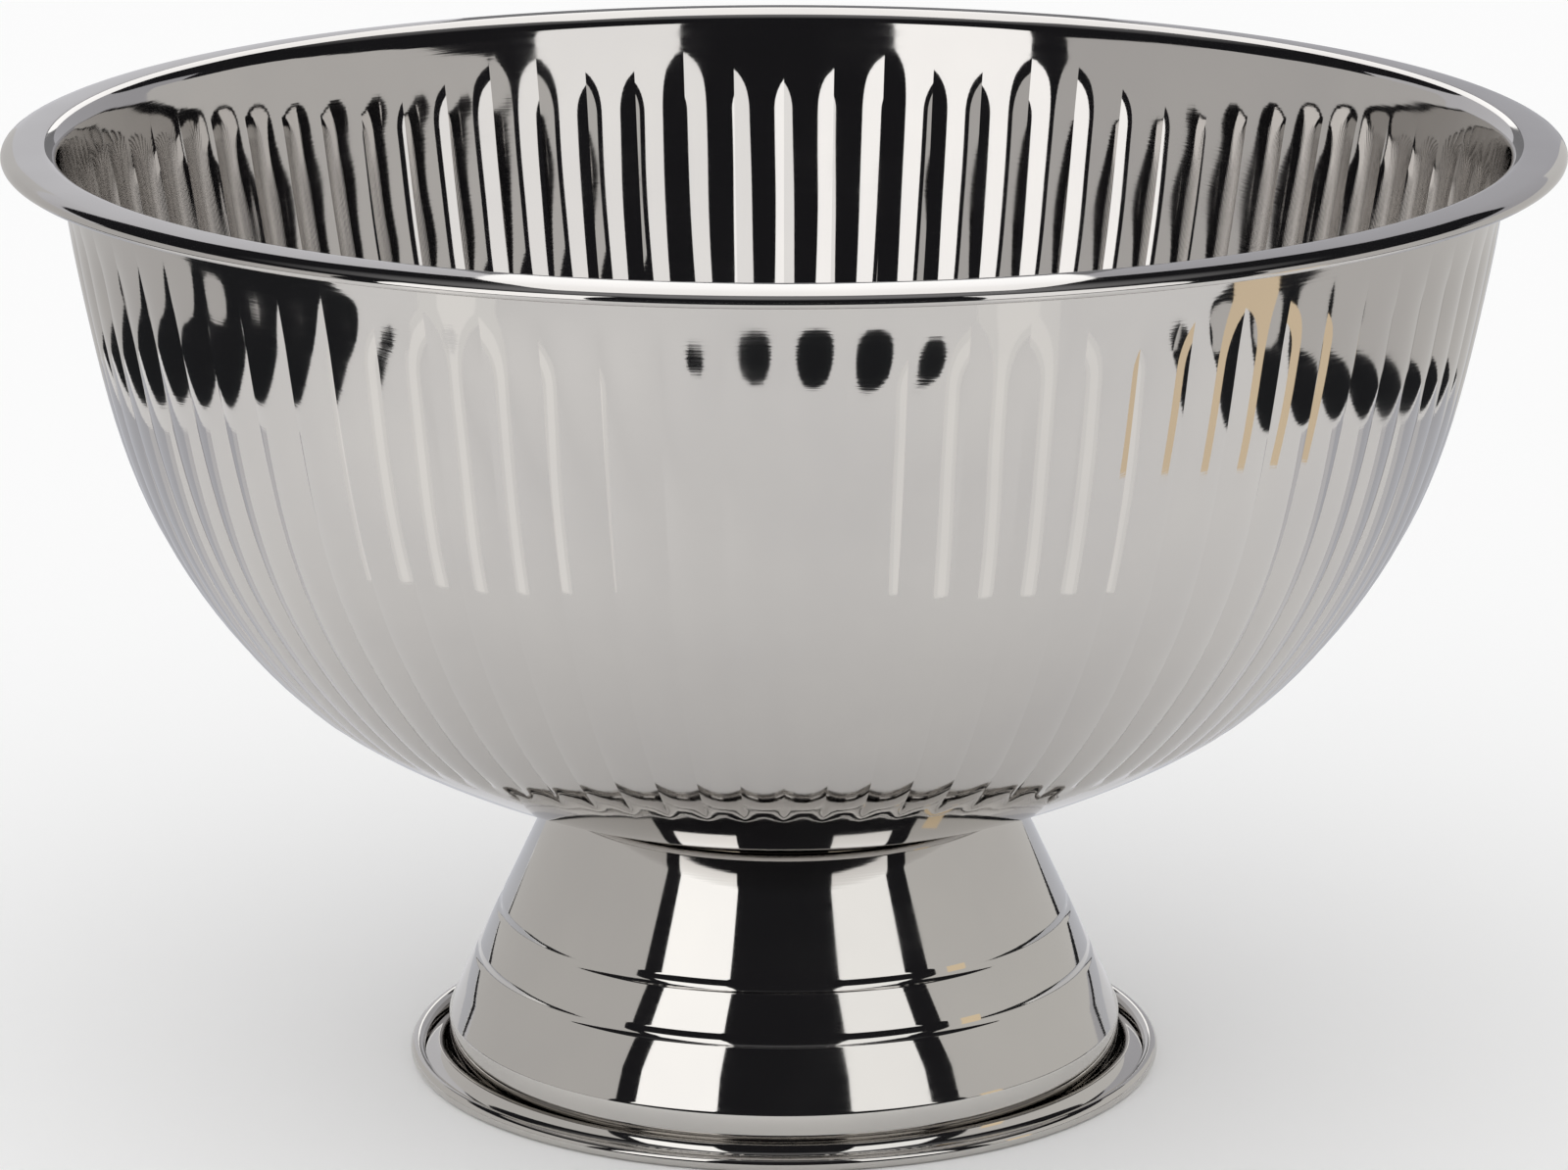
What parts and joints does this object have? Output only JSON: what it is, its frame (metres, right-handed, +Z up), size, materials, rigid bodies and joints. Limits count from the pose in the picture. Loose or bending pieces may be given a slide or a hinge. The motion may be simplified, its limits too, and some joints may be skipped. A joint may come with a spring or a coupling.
{
  "type": "punch bowl",
  "caption": "Large fluted punch bowl in mirror-polished stainless steel, with a flared, beaded lip, a smooth floor and a spun conical pedestal foot.",
  "frame": {"origin": "centre of the foot on the resting plane", "axes": "+Z up along the bowl's axis; the bowl is the same all round, and -Y faces the camera with a crease between two flutes on it"},
  "size_m": [0.4, 0.4, 0.248],
  "materials": {
    "bowl_steel": "mirror-polished stainless sheet",
    "foot_steel": "mirror-polished spun stainless sheet",
    "braze": "pale silver braze, wiped smooth"
  },
  "bodies": {
    "root": {"bowl_shell": "bowl_steel", "pedestal_foot": "foot_steel", "braze_ring": "braze"}
  },
  "joints": []
}
